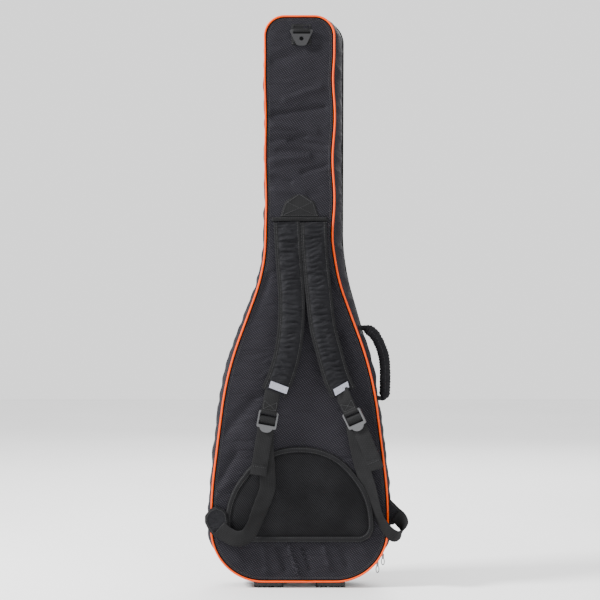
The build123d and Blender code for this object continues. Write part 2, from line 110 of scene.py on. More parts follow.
def outline(stations, samples=SAMPLES):
    """Closed outline in X and Z, symmetric about x = 0, with a rounded corner at each station."""
    corners = [(0, stations[0][1], 0), *stations, (0, stations[-1][1], 0)]
    half = [np.array(corners[0][:2], float)]
    for before, (x, z, radius), after in zip(corners, corners[1:], corners[2:]):
        here = np.array((x, z), float)
        a, b = unit(np.array(before[:2]) - here), unit(np.array(after[:2]) - here)
        angle = math.acos(np.clip(a @ b, -1, 1))
        sweep = math.pi - angle
        reach = radius / math.tan(angle / 2)
        centre = here + unit(a + b) * radius / math.sin(angle / 2)
        v0, v1 = here + a * reach - centre, here + b * reach - centre
        for t in np.linspace(0, 1, 24):
            arc = (math.sin((1 - t) * sweep) * v0 + math.sin(t * sweep) * v1) / math.sin(sweep)
            half.append(centre + arc)
    half.append(np.array(corners[-1][:2], float))
    right = resample(half, samples)
    left = right[::-1] * (-1, 1)
    return np.vstack([right, left[1:-1]])


def polygon(points, samples=120):
    """Closed outline with straight sides through the corners, counter-clockwise seen from -Y."""
    points = np.asarray(points, float)
    closed = np.vstack([points, points[:1]])
    area = np.sum(closed[:-1, 0] * closed[1:, 1] - closed[1:, 0] * closed[:-1, 1])
    return resample(closed if area > 0 else closed[::-1], samples + 1)[:-1]


def shrink(loop, inset):
    """The outline moved inward."""
    tangent = np.roll(loop, -1, 0) - np.roll(loop, 1, 0)
    tangent /= np.maximum(np.linalg.norm(tangent, axis=1), 1e-9)[:, None]
    return loop + np.column_stack([-tangent[:, 1], tangent[:, 0]]) * inset


def to_spine(loop, share, margin):
    """The outline moved a share of the way to its middle line, which keeps this margin at its ends."""
    low, high = loop[:, 1].min() + margin, loop[:, 1].max() - margin
    middle = (loop[:, 0].max() + loop[:, 0].min()) / 2
    target = np.column_stack([np.full(len(loop), middle), np.clip(loop[:, 1], low, high)])
    return loop + (target - loop) * share


def at_depth(loop, y):
    """The outline's X and Z with a depth."""
    return np.column_stack([loop[:, 0], np.broadcast_to(y, len(loop)), loop[:, 1]])


def lean(points):
    """The neck's side walls and front lean to +X, behind the straight back panel."""
    points = np.array(points, float)
    depth = np.clip(points[..., 1] - BACK, 0, ZIP - BACK)
    points[..., 0] += LEAN * smooth(LEAN_LOW, LEAN_HIGH, points[..., 2]) * depth
    return points


def ripple(points, size, scale, seed=0.0):
    """Seeded smooth noise at each point, between about -size and size."""
    return np.array([size * noise.noise(Vector(p) * scale + Vector((seed, seed, seed))) for p in points])


def make(name, vertices, faces, uvs=None, materials=(), regions=None, shaded=True):
    """Mesh object with a UV map in metres and one material per region."""
    mesh = bpy.data.meshes.new(name)
    mesh.from_pydata([tuple(map(float, v)) for v in vertices], [], faces)
    for material in materials:
        mesh.materials.append(material)
    if regions is not None:
        mesh.polygons.foreach_set("material_index", regions)
    if uvs is not None:
        mesh.uv_layers.new(name="cloth").data.foreach_set("uv", np.ravel(uvs))
    mesh.polygons.foreach_set("use_smooth", [shaded] * len(mesh.polygons))
    work = bmesh.new()
    work.from_mesh(mesh)
    bmesh.ops.remove_doubles(work, verts=work.verts, dist=1e-5)
    bmesh.ops.dissolve_degenerate(work, dist=1e-6, edges=work.edges)
    bmesh.ops.recalc_face_normals(work, faces=work.faces)
    work.to_mesh(mesh)
    work.free()
    piece = bpy.data.objects.new(name, mesh)
    bpy.context.scene.collection.objects.link(piece)
    return piece


def loft(name, rings, materials, regions=None, closed=True, caps=False, flat_uv=()):
    """Surface through rings of points. A region is a material's number, and its UV is flat if listed."""
    rings = np.asarray(rings, float)
    count, width = rings.shape[:2]
    steps = np.linalg.norm(np.roll(rings, -1, 1) - rings, axis=2)
    around = np.concatenate([np.zeros((count, 1)), np.cumsum(steps, axis=1)], axis=1).mean(0)
    along = np.concatenate([[0], np.cumsum(np.linalg.norm(np.diff(rings, axis=0), axis=2).mean(1))])
    faces, uvs, indices = [], [], []
    for r in range(count - 1):
        region = 0 if regions is None else regions[r]
        for c in range(width if closed else width - 1):
            n = (c + 1) % width
            corners = [(r, c, c), (r, n, c + 1), (r + 1, n, c + 1), (r + 1, c, c)]
            faces.append([row * width + column for row, column, _ in corners])
            if region in flat_uv:
                uvs += [tuple(rings[row, column, [0, 2]]) for row, column, _ in corners]
            else:
                uvs += [(around[step], along[row]) for row, _, step in corners]
            indices.append(region if np.isscalar(region) else region[c])
    if caps:
        for row in (0, count - 1):
            faces.append([row * width + c for c in range(width)])
            uvs += [tuple(rings[row, c, [0, 2]]) for c in range(width)]
            indices.append(indices[0 if row == 0 else -1])
    return make(name, rings.reshape(-1, 3), faces, uvs, materials, indices)


def frames(path, side, closed=False):
    """Side and outward directions at each point of a path. The side given may vary along it."""
    tangent = units(np.roll(path, -1, 0) - np.roll(path, 1, 0) if closed else np.gradient(path, axis=0))
    side = np.broadcast_to(side, path.shape)
    side = units(side - (side * tangent).sum(1)[:, None] * tangent)
    return side, np.cross(side, tangent)


def ribbon(name, path, side, width, thickness, materials, crimp=0.0):
    """Flat webbing along a path, with slightly rounded edges."""
    path = np.asarray(path, float)
    across, out = frames(path, side)
    cross = [(-0.5, -0.25), (-0.47, -0.5), (-0.2, -0.5), (0.2, -0.5), (0.47, -0.5), (0.5, -0.25),
             (0.5, 0.25), (0.47, 0.5), (0.2, 0.5), (-0.2, 0.5), (-0.47, 0.5), (-0.5, 0.25)]
    rings = []
    for i, centre in enumerate(path):
        cup = crimp * math.sin(i * 0.9)
        rings.append([centre + across[i] * a * width + out[i] * (b * thickness + cup * (abs(a) * 2) ** 2)
                      for a, b in cross])
    return loft(name, rings, materials, caps=True)


def tube(name, path, radius, materials, around=10, closed=False, up=(0, 1, 0)):
    """Round tube along a path. Radius is a number or one per point."""
    path = np.asarray(path, float)
    across, out = frames(path, up, closed)
    radius = np.broadcast_to(radius, len(path))
    angles = np.linspace(0, 2 * math.pi, around, endpoint=False)
    rings = [[p + r * (a * math.cos(t) + o * math.sin(t)) for t in angles]
             for p, r, a, o in zip(path, radius, across, out)]
    if closed:
        rings.append(rings[0])
    return loft(name, rings, materials, caps=not closed)


def pillow(name, loop, base, out, profile, materials, margin, rings=9, crown=0.0, wrinkle=0.0, bend=None):
    """Raised piece on a panel. Profile lists (inset, height, region) from its edge inward, then it
    crowns to its middle line. Out is -1 on the back panel and 1 on the front."""
    steps, regions = [], []
    for inset, height, region in profile:
        steps.append((shrink(loop, inset), height))
        regions.append(region)
    last, height = steps[-1]
    for share in np.linspace(0, 1, rings)[1:]:
        steps.append((to_spine(last, share, margin), height + crown * math.sin(share * math.pi / 2)))
        regions.append(regions[-1])
    surface = []
    for ring, rise in steps:
        points = at_depth(ring, base + out * rise)
        if wrinkle:
            points[:, 1] += ripple(points, wrinkle, 26, 3.1) * min(1, rise / 0.002)
        surface.append(points if bend is None else bend(points))
    return loft(name, surface, materials, regions[:-1], flat_uv=set(regions))


def stitches(name, path, out, pitch=0.0036, length=0.0026, radius=0.00035, lift=0.0002, closed=False):
    """Row of thread stitches lying on a surface along a path."""
    path = np.asarray(path, float)
    if closed:
        path = np.vstack([path, path[:1]])
    total = np.linalg.norm(np.diff(path, axis=0), axis=1).sum()
    dense = resample(path, max(3, int(total / pitch)))
    out = np.asarray(out, float)
    vertices, faces = [], []
    for a, b in zip(dense, dense[1:]):
        if np.linalg.norm(b - a) < 1e-6:
            continue
        t = unit(b - a)
        side = unit(np.cross(t, out))
        middle = (a + b) / 2 + out * lift
        base = len(vertices)
        for along, size in ((-0.5, 0.45), (-0.3, 1.0), (0.3, 1.0), (0.5, 0.45)):
            for k in range(4):
                angle = k * math.pi / 2
                offset = side * math.cos(angle) + out * math.sin(angle)
                vertices.append(middle + t * along * length + offset * radius * size)
        for row in range(3):
            for k in range(4):
                n = (k + 1) % 4
                start = base + row * 4
                faces.append([start + k, start + n, start + 4 + n, start + 4 + k])
        faces.append([base + k for k in range(4)])
        faces.append([base + 12 + k for k in range(4)])
    return make(name, vertices, faces, materials=[THREAD])


# ---------- materials
CLOTH_IOR = 1.22        # cloth shines less than solid plastic


def shader(name, roughness, sheen=0.0, metallic=0.0, specular=0.5, ior=1.5):
    """Material with its nodes, and a function that adds and joins a node."""
    material = bpy.data.materials.new(name)
    material.use_nodes = True
    tree = material.node_tree
    surface = tree.nodes["Principled BSDF"]
    surface.inputs["Roughness"].default_value = roughness
    surface.inputs["Metallic"].default_value = metallic
    surface.inputs["Specular IOR Level"].default_value = specular
    surface.inputs["IOR"].default_value = ior
    surface.inputs["Sheen Weight"].default_value = sheen
    surface.inputs["Sheen Roughness"].default_value = 0.5

    def add(kind, settings=None, **inputs):
        node = tree.nodes.new(kind)
        for key, value in (settings or {}).items():
            setattr(node, key, value)
        for key, value in inputs.items():
            socket = node.inputs[int(key[1:])] if key[0] == "i" and key[1:].isdigit() else node.inputs[key]
            if isinstance(value, bpy.types.NodeSocket):
                tree.links.new(value, socket)
            else:
                socket.default_value = value
        return node

    return material, tree, surface, add


def mapped(add, source, scale, turn=0.0):
    """Texture coordinates in metres, scaled to cells and turned about their normal."""
    coords = add("ShaderNodeTexCoord").outputs[source]
    return add("ShaderNodeMapping", Vector=coords, Rotation=(0, 0, turn), Scale=scale).outputs["Vector"]


def ramp(add, value, stops):
    """Greys or colours between stops of (position, colour)."""
    node = add("ShaderNodeValToRGB", Fac=value)
    elements = node.color_ramp.elements
    while len(elements) < len(stops):
        elements.new(0.5)
    for element, (position, colour) in zip(elements, stops):
        element.position = position
        element.color = (*colour, 1)
    return node.outputs["Color"]


def repaint(node, material):
    """Give a CAD part one material."""
    node.data.materials.clear()
    node.data.materials.append(material)


def grey(v):
    """The same value three times."""
    return (v, v, v)


def mix(add, factor, first, second):
    """Colour between two colours."""
    node = add("ShaderNodeMix", {"data_type": "RGBA"})
    tree = node.id_data
    for index, value in ((0, factor), (6, first), (7, second)):
        if isinstance(value, bpy.types.NodeSocket):
            tree.links.new(value, node.inputs[index])
        elif index:
            node.inputs[index].default_value = (*value, 1)
        else:
            node.inputs[index].default_value = value
    return node.outputs[2]


def cloudy(add, scale, detail=3.0, distortion=0.0):
    """Soft noise with this many cells to a metre."""
    place = mapped(add, "Object", scale if isinstance(scale, tuple) else grey(scale))
    node = add("ShaderNodeTexNoise", Vector=place, Scale=1.0, Detail=detail, Distortion=distortion)
    return node.outputs["Fac"]


def bands(add, direction, scale, distortion):
    """Regular bands across a direction of the UV map."""
    return add("ShaderNodeTexWave", {"bands_direction": direction}, Scale=1.0, Distortion=distortion,
               Vector=mapped(add, "UV", grey(scale))).outputs["Fac"]


def cells(add, source, scale, turn=0.0, randomness=0.0):
    """Distance from the middles of rows of cells."""
    return add("ShaderNodeTexVoronoi", Randomness=randomness, Scale=1.0,
               Vector=mapped(add, source, scale, turn)).outputs["Distance"]


def finish_surface(tree, surface, add, colour, layers):
    """Join the colour and stack the bump layers of (height, strength, distance)."""
    tree.links.new(colour, surface.inputs["Base Color"])
    normal = None
    for height, strength, distance in layers:
        bump = add("ShaderNodeBump", Height=height, Strength=strength, Distance=distance)
        if normal is not None:
            tree.links.new(normal, bump.inputs["Normal"])
        normal = bump.outputs["Normal"]
    tree.links.new(normal, surface.inputs["Normal"])


def woven(name, dark, light, pitch, roughness, fleck=None, crease=0.0):
    """Cloth with a fine plain weave, and flecks of (colour, pitch along, pitch across, share)."""
    material, tree, surface, add = shader(name, roughness, specular=0.12, ior=CLOTH_IOR)
    warp, weft = (bands(add, direction, 0.16 / pitch, 0.4) for direction in "XY")
    weave = add("ShaderNodeMath", {"operation": "MULTIPLY"}, i0=warp, i1=weft).outputs[0]
    mottle = ramp(add, cloudy(add, 9.0, 4.0), [(0.3, [c * 0.45 for c in dark]), (0.7, light)])
    colour = mix(add, 0.25, mix(add, weave, dark, light), mottle)
    layers = [(weave, 0.35, 0.0003)]
    if fleck:
        tint, along, across, share = fleck
        spots = cells(add, "UV", (1 / along, 1 / across, 1), math.radians(-32))
        mask = ramp(add, spots, [(share * 0.55, grey(1.0)), (share, grey(0.0))])
        colour = mix(add, mask, colour, tint)
        layers.append((mask, 0.4, 0.0003))
    if crease:
        for scale, depth in (((16, 16, 46), 0.012), ((60, 60, 150), 0.0035)):
            layers.append((cloudy(add, scale, distortion=0.6), crease, depth))
    finish_surface(tree, surface, add, colour, layers)
    return material


def webbing_material(name, dark, light):
    """Flat webbing: ribs along it, crossed by fine picks."""
    material, tree, surface, add = shader(name, 0.7, specular=0.4, ior=CLOTH_IOR)
    ribs, picks = bands(add, "X", 90.0, 0.0), bands(add, "DIAGONAL", 140.0, 0.6)
    weave = add("ShaderNodeMath", {"operation": "MULTIPLY"}, i0=ribs, i1=picks).outputs[0]
    mottle = ramp(add, cloudy(add, 30.0), [(0.35, dark), (0.7, light)])
    colour = mix(add, 0.25, mix(add, weave, dark, light), mottle)
    finish_surface(tree, surface, add, colour, [(weave, 0.6, 0.0005)])
    return material


def mesh_material(name):
    """Open air mesh: rows of small dark holes between matt threads."""
    material, tree, surface, add = shader(name, 0.8, specular=0.3, ior=CLOTH_IOR)
    rows = cells(add, "UV", (330.0, 250.0, 1), math.radians(-52))
    holes = ramp(add, rows, [(0.28, grey(0.0)), (0.46, grey(1.0))])
    threads = ramp(add, cloudy(add, 14.0, 4.0), [(0.3, (0.008, 0.008, 0.009)), (0.7, (0.019, 0.019, 0.021))])
    colour = mix(add, holes, (0.0012, 0.0012, 0.0012), threads)
    finish_surface(tree, surface, add, colour, [(holes, 0.8, 0.0012)])
    return material


def banded(name, dark, light, cycles, roughness, direction="X", depth=0.0006, ior=CLOTH_IOR):
    """Ribs at right angles to a direction of the UV map, such as a coil's turns or a binding's cords."""
    material, tree, surface, add = shader(name, roughness, ior=ior)
    ribs = bands(add, direction, cycles, 0.2)
    mottle = ramp(add, cloudy(add, 60.0), [(0.3, dark), (0.75, light)])
    colour = mix(add, 0.3, mix(add, ribs, dark, light), mottle)
    finish_surface(tree, surface, add, colour, [(ribs, 0.7, depth)])
    return material


def speckled(name, dark, light, scale, roughness, metallic=0.0, bump=0.15, sheen=0.0, beaded=False):
    """Moulded, cast or napped surface with fine grain, or with small reflecting beads."""
    material, tree, surface, add = shader(name, roughness, sheen, metallic)
    grain = cloudy(add, scale, 6.0)
    colour = ramp(add, grain, [(0.32, dark), (0.68, light)])
    layers = [(grain, bump, 0.0004)]
    if beaded:
        beads = cells(add, "Object", grey(scale), randomness=1.0)
        colour = mix(add, ramp(add, beads, [(0.1, grey(0.0)), (0.6, grey(1.0))]), light, dark)
        layers.append((beads, 0.5, 0.0004))
    wear = cloudy(add, scale / 12)
    shine = add("ShaderNodeMapRange", Value=wear, **{"To Min": roughness - 0.08, "To Max": roughness + 0.1})
    tree.links.new(shine.outputs["Result"], surface.inputs["Roughness"])
    finish_surface(tree, surface, add, colour, layers)
    return material


FABRIC = woven("shell fabric", (0.0085, 0.0081, 0.0102), (0.0185, 0.0176, 0.0215), 0.0011, 0.62,
               fleck=((0.040, 0.039, 0.045), 0.0046, 0.0036, 0.32), crease=0.6)
# Painted shade: a darker copy of the shell cloth for the band beside the piping.
PAINTED_SHADE_EDGE = woven("seam band painted shade", (0.004, 0.004, 0.005), (0.010, 0.010, 0.012), 0.0010, 0.8)
LINING = speckled("plush lining", (0.012, 0.012, 0.013), (0.032, 0.032, 0.035), 700.0, 0.95, bump=0.6,
                  sheen=0.3)
TAPE = woven("zip tape", (0.004, 0.004, 0.0045), (0.011, 0.011, 0.012), 0.0008, 0.75)
COIL = banded("zip coil", (0.004, 0.004, 0.004), (0.026, 0.026, 0.027), 100.0, 0.4, "Y", 0.0008, 1.5)
PIPING = banded("orange piping", (0.66, 0.050, 0.001), (0.86, 0.082, 0.002), 260.0, 0.62, "DIAGONAL",
                0.00025, 1.2)
MESH = mesh_material("air mesh")
BINDING = banded("binding tape", (0.004, 0.004, 0.0045), (0.013, 0.013, 0.014), 160.0, 0.72, "Y", 0.0004)
WEBBING = webbing_material("webbing", (0.0065, 0.0065, 0.0068), (0.020, 0.020, 0.021))
STRAP = woven("strap fabric", (0.0090, 0.0090, 0.0102), (0.0230, 0.0230, 0.0255), 0.0012, 0.58,
              crease=0.95)
THREAD = speckled("thread", (0.012, 0.012, 0.013), (0.040, 0.040, 0.043), 3000.0, 0.6, bump=0.3)
REFLECTIVE = speckled("reflective tape", (0.22, 0.225, 0.27), (0.42, 0.425, 0.49), 900.0, 0.4, 0.3,
                      beaded=True)
PLASTIC = speckled("grey moulded plastic", (0.042, 0.043, 0.046), (0.072, 0.073, 0.077), 900.0, 0.4)
DARK_PLASTIC = speckled("dark moulded plastic", (0.006, 0.006, 0.007), (0.014, 0.014, 0.016), 900.0, 0.5)
METAL = speckled("plated zinc", (0.10, 0.10, 0.105), (0.22, 0.22, 0.23), 500.0, 0.32, 0.85, 0.1)
RUBBER = speckled("foot rubber", (0.005, 0.005, 0.005), (0.014, 0.014, 0.014), 650.0, 0.7, bump=0.35)


# ---------- the two shells
SEAM_BAND = 0.0045      # band beside the piping where the cloth dips; its darker colour is painted shade
TUCK = 0.0014           # where the cloth goes in under the piping
PANEL_RIM = 0.020       # the panel has its full height this far from the piping
ZIP_SET = 0.0012        # how far the shell's edge stands back from the zip
CREASE_DEPTH = 2.4      # multiplies the depths in CREASES
HANDLE_Y = -0.012
HANDLE = [(0.1300, 0.5525), (0.1420, 0.5500), (0.1585, 0.5390), (0.1710, 0.5180), (0.1800, 0.4920),
          (0.1830, 0.4650), (0.1832, 0.4350), (0.1822, 0.4120), (0.1785, 0.4015), (0.1735, 0.4005)]
# Creases of the back panel: from, to (x, z), half width, and depth, where a minus stands proud.
CREASES = [((-0.062, 1.003), (0.052, 1.020), 0.006, 0.0022), ((-0.062, 0.985), (0.035, 0.968), 0.007, -0.0020),
           ((-0.020, 0.950), (0.066, 0.938), 0.006, 0.0022), ((-0.066, 0.905), (0.020, 0.915), 0.007, -0.0020),
           ((0.008, 0.882), (0.068, 0.900), 0.006, 0.0020), ((-0.060, 0.872), (-0.020, 0.862), 0.006, 0.0016),
           ((-0.022, 0.088), (-0.002, 0.030), 0.0045, -0.0030), ((0.008, 0.086), (0.022, 0.040), 0.005, 0.0020),
           ((-0.045, 0.088), (-0.030, 0.040), 0.006, 0.0022), ((-0.078, 0.086), (-0.070, 0.036), 0.007, -0.0020),
           ((0.052, 0.088), (0.064, 0.045), 0.006, -0.0022), ((-0.125, 0.090), (-0.110, 0.050), 0.008, 0.0020),
           ((0.088, 0.090), (0.100, 0.050), 0.007, 0.0020), ((0.125, 0.095), (0.140, 0.075), 0.008, -0.0018),
           ((0.098, 0.600), (0.055, 0.660), 0.009, 0.0020), ((-0.112, 0.560), (-0.070, 0.660), 0.010, 0.0018),
           ((0.064, 0.700), (0.052, 0.760), 0.007, -0.0018), ((-0.160, 0.330), (-0.095, 0.400), 0.012, 0.0018),
           ((0.165, 0.330), (0.120, 0.420), 0.010, 0.0020), ((0.130, 0.470), (0.100, 0.540), 0.009, -0.0018),
           ((-0.168, 0.235), (-0.135, 0.285), 0.008, 0.0020), ((-0.176, 0.200), (-0.150, 0.225), 0.007, -0.0018),
           ((0.178, 0.250), (0.140, 0.330), 0.009, -0.0016), ((-0.055, 1.120), (0.040, 1.150), 0.012, 0.0014),
           ((-0.060, 0.950), (0.010, 0.957), 0.006, 0.0015), ((-0.030, 1.036), (0.045, 1.062), 0.007, -0.0016),
           ((-0.045, 0.928), (0.062, 0.922), 0.006, 0.0015), ((-0.055, 0.845), (0.010, 0.838), 0.007, -0.0013)]


def seam_line():
    """Piping line, which wavers a little up the right of the neck."""
    loop = outline(SEAM)
    waver = 0.0022 * np.sin((loop[:, 1] - 0.78) * 36.0) * smooth(0.66, 0.78, loop[:, 1])
    waver *= 1 - smooth(1.08, 1.16, loop[:, 1])
    loop[:, 0] += np.where(loop[:, 0] > 0, waver, 0.35 * waver)
    return loop


def relief(loop, creased):
    """How far the panel stands proud of its plane, from soft unevenness and creases."""
    flat = at_depth(loop, 0.0)
    rise = 0.0004 + ripple(flat, 0.0016, 9.0, 1.7) + ripple(flat, 0.0008, 30.0, 5.2)
    if creased:
        for start, end, width, depth in CREASES:
            a, b = np.array(start), np.array(end)
            t = np.clip(((loop - a) @ (b - a)) / ((b - a) @ (b - a)), 0, 1)
            away = np.linalg.norm(loop - (a + t[:, None] * (b - a)), axis=1)
            rise -= CREASE_DEPTH * depth * np.exp(-(away / width) ** 2)
    return rise


def gusset_bulge(seam):
    """How far the side wall swells past the piping, less at the feet and where the handle is sewn."""
    swell = 0.0045 + 0.0030 * (1 - smooth(0.70, 0.85, seam[:, 1]))
    swell *= 0.25 + 0.75 * smooth(0.02, 0.11, seam[:, 1])
    sewn = sum(np.exp(-((seam[:, 1] - z) / 0.022) ** 2) for z in (HANDLE[0][1], HANDLE[-1][1]))
    return swell * (1 - 0.75 * np.clip(sewn, 0, 1) * (seam[:, 0] > 0))


def shell(name, body, seam_y, out):
    """One padded half of the bag, from its outer panel round the zip edge to its lining."""
    seam, edge = seam_line(), outline(ZIP_LINE)
    rim = ZIP + out * 0.0002
    floor = seam_y - out * PANEL
    rings, regions = [], []
    inner_edge = shrink(seam, PANEL_RIM)
    for share in np.linspace(1, 0.04, 30):
        loop = to_spine(inner_edge, share, 0.11)
        rings.append(at_depth(loop, seam_y + out * relief(loop, out < 0)))
        regions.append(0)
    for inset in (PANEL_RIM, 0.015, 0.010, SEAM_BAND + 0.001, SEAM_BAND, 0.0034, TUCK):
        loop = shrink(seam, inset)
        swell = smooth(PIPE_R, PANEL_RIM, inset) * relief(loop, out < 0)
        dip = 0.0012 * (1 - smooth(PIPE_R, SEAM_BAND, inset))
        rings.append(at_depth(loop, seam_y + out * (swell - dip)))
        # Region 1, the band beside the piping, takes the darker cloth that paints shade along the seam.
        regions.append(0 if inset > SEAM_BAND else 1)
    tape_share = 1 - ZIP_TAPE / abs(ZIP - seam_y)
    start = shrink(seam, TUCK)
    bulge = gusset_bulge(seam)
    for share in [*np.linspace(0.02, tape_share, 11), tape_share + 0.01, 0.5 + tape_share / 2, 1.0]:
        loop = start + (edge - start) * share
        puff = bulge * math.sin(math.pi * min(1, share / tape_share)) ** 0.7 - 0.0008 * (share > tape_share)
        wrinkled = at_depth(seam, share * 0.05) * (1, 1, 2.2)
        puff = puff + ripple(wrinkled, 0.0030, 24, 8.0) * math.sin(math.pi * share)
        rings.append(at_depth(shrink(loop, -puff[:, None]), seam_y + (rim - seam_y) * share))
        regions.append(0 if share < tape_share else 2)
    lip = rim + out * ZIP_SET
    rings.append(at_depth(shrink(edge, 0.004), lip))
    mouth, inner = shrink(edge, WALL), shrink(seam, PIPE_R + WALL)
    for share in np.linspace(0, 1, 8):
        rings.append(at_depth(mouth + (inner - mouth) * share, lip + (floor - lip) * share))
    for share in np.linspace(0, 1, 22)[1:]:
        loop = to_spine(inner, share, 0.10)
        softness = ripple(at_depth(loop, 1.0), 0.0008, 14.0) * min(1, share * 6)
        rings.append(at_depth(loop, floor + softness))
    regions += [3] * (len(rings) - len(regions))
    piece = loft(name, lean(rings), [FABRIC, PAINTED_SHADE_EDGE, TAPE, LINING], regions[:-1])
    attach(piece, body)
    return piece


def flatten_panel_uv(piece):
    """The panels' weave runs straight down the bag instead of round its outline."""
    layer = piece.data.uv_layers["cloth"].data
    for face in piece.data.polygons:
        if abs(face.normal.y) > 0.8:
            for corner in face.loop_indices:
                place = piece.data.vertices[piece.data.loops[corner].vertex_index].co
                layer[corner].uv = (place.x, place.z)


HALVES = {"back": ("back_shell", BACK, -1), "front": ("lid", FRONT, 1)}
HINGE_LOW, HINGE_HIGH = 0.132, 0.330
HINGE_HALF = 0.009      # half the hinge cloth's width
COIL_GAP = 0.010        # the coil stops this far short of the hinge
for half, (body, seam_y, out) in HALVES.items():
    padded_shell = shell(f"{half}_padded_shell", body, seam_y, out)
    flatten_panel_uv(padded_shell)
    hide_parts(f"{half}_panel_fabric", f"{half}_panel_padding", f"{half}_gusset_fabric",
                f"{half}_gusset_padding", f"{half}_lining")

    cord = tube(f"{half}_piping_cord", lean(at_depth(seam_line(), seam_y)), CORD_R, [PIPING], closed=True)
    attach(cord, body)
    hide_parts(f"{half}_piping")

    # The zip's coil runs all round except the hinge stretch on the left.
    coil_path = lean(at_depth(outline(ZIP_LINE, ZIP_SAMPLES), ZIP + out * 0.0013))
    height = coil_path[:, 2]
    hinge = (coil_path[:, 0] < 0) & (height > HINGE_LOW - COIL_GAP) & (height < HINGE_HIGH + COIL_GAP)
    skipped = int(hinge.sum())
    coil_path = np.roll(coil_path, -(int(np.argmax(hinge)) + skipped), axis=0)[: len(coil_path) - skipped]
    coil = tube(f"{half}_zip_coil", coil_path, 0.0012, [COIL], 8)
    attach(coil, body)
    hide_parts(f"main_zip_{half}")

    for number, inset in enumerate((SEAM_BAND + 0.0015, SEAM_BAND + 0.0045)):
        loop = shrink(seam_line(), inset)
        rise = smooth(PIPE_R, PANEL_RIM, inset) * relief(loop, out < 0)
        row = stitches(f"{half}_seam_stitches_{number}", lean(at_depth(loop, seam_y + out * rise)),
                       (0, out, 0), closed=True)
        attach(row, body)

# Cloth hinge of the lid, folded round the zip plane.
edge_line = outline(ZIP_LINE, ZIP_SAMPLES)
height = edge_line[:, 1]
on_hinge = edge_line[(edge_line[:, 0] < 0) & (height > HINGE_LOW) & (height < HINGE_HIGH)]
hinge_rings = []
for depth in np.linspace(ZIP - HINGE_HALF, ZIP + HINGE_HALF, 13):
    bow = 0.0012 * math.cos((depth - ZIP) / HINGE_HALF * math.pi / 2)
    hinge_rings.append(at_depth(on_hinge - (0.0004 + bow, 0), depth))
hinge_cloth = loft("lid_hinge_strip", hinge_rings, [FABRIC], closed=False)
thick = hinge_cloth.modifiers.new("cloth thickness", "SOLIDIFY")
thick.thickness = 0.0008
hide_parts("lid_hinge_cloth")


def settle(piece):
    """Bake a piece's modifiers into its mesh."""
    evaluated = piece.evaluated_get(bpy.context.evaluated_depsgraph_get())
    piece.data = bpy.data.meshes.new_from_object(evaluated)
    piece.modifiers.clear()
    return piece


settle(hinge_cloth)
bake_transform(hinge_cloth)


# ---------- back panel: lumbar pad
LUMBAR = [(0.158, 0.098, 0.034), (0.158, 0.192, 0.160), (0.074, 0.300, 0.140)]
lumbar_loop = outline(LUMBAR, 130)
border = [(0.0, 0.0, 0), (0.0, 0.0040, 0), (0.0015, 0.0068, 0), (0.0045, 0.0080, 0), (0.0080, 0.0080, 0),
          (0.0110, 0.0062, 0), (0.0122, 0.0040, 1), (0.0135, 0.0046, 1), (0.018, 0.0062, 1)]
lumbar = pillow("lumbar_pad", lumbar_loop, BACK, -1, border, [BINDING, MESH], 0.085, 16, 0.0012, 0.0005)
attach(lumbar, "back_shell")
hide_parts("lumbar_mesh", "lumbar_border")
for number, inset in enumerate((0.0028, 0.0098)):
    row = stitches(f"lumbar_stitches_{number}", at_depth(shrink(lumbar_loop, inset), BACK - 0.0076),
                   (0, -1, 0), closed=True)
    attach(row, "back_shell")

# ---------- yoke and hanger
YOKE = [(-0.041, 0.787), (0.041, 0.787), (0.031, 0.819), (0.0, 0.840), (-0.031, 0.819)]
yoke_loop = polygon(YOKE)
yoke_edge = [(0, 0, 0), (0, 0.0014, 0), (0.0012, 0.0021, 0), (0.004, 0.0018, 0)]
yoke = pillow("yoke_cloth", yoke_loop, BACK, -1, yoke_edge, [WEBBING], 0.018, 6, 0.0004, 0.0002)
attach(yoke, "back_shell")
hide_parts("yoke_patch")
yoke_rows = stitches("yoke_stitches", at_depth(shrink(yoke_loop, 0.0034), BACK - 0.0020), (0, -1, 0),
                     closed=True)
YOKE_CROSS = np.array([(-0.033, 0.791), (0.026, 0.818), (0.0, 0.835), (-0.026, 0.818), (0.033, 0.791)])
yoke_cross = stitches("yoke_cross_stitches", at_depth(YOKE_CROSS, BACK - 0.0022), (0, -1, 0))
low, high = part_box("yoke_bar")
bar_z = (low.z + high.z) / 2
bar_path = np.linspace((low.x, low.y + 0.0012, bar_z), (high.x, low.y + 0.0012, bar_z), 40)
yoke_bar = ribbon("yoke_bar_webbing", bar_path, (0, 0, 1), high.z - low.z, 0.0024, [WEBBING], 0.0002)
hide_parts("yoke_bar")
bar_rows = stitches("yoke_bar_stitches", bar_path[2:-2] + (0, -0.0014, 0.0025), (0, -1, 0))
for piece in (yoke_rows, yoke_cross, yoke_bar, bar_rows):
    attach(piece, "back_shell")

low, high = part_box("hanger_patch")
patch_loop = polygon([(low.x, low.z), (high.x, low.z), (high.x, high.z), (low.x, high.z)])
patch_edge = [(0, 0, 0), (0, 0.0011, 0), (0.001, 0.0016, 0), (0.004, 0.0014, 0)]
patch = pillow("hanger_cloth", patch_loop, BACK, -1, patch_edge, [WEBBING], 0.019, 5, 0.0002, 0.0001)
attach(patch, "back_shell")
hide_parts("hanger_patch")
row = stitches("hanger_stitches", at_depth(shrink(patch_loop, 0.0030), BACK - 0.0017), (0, -1, 0),
               closed=True)
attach(row, "back_shell")

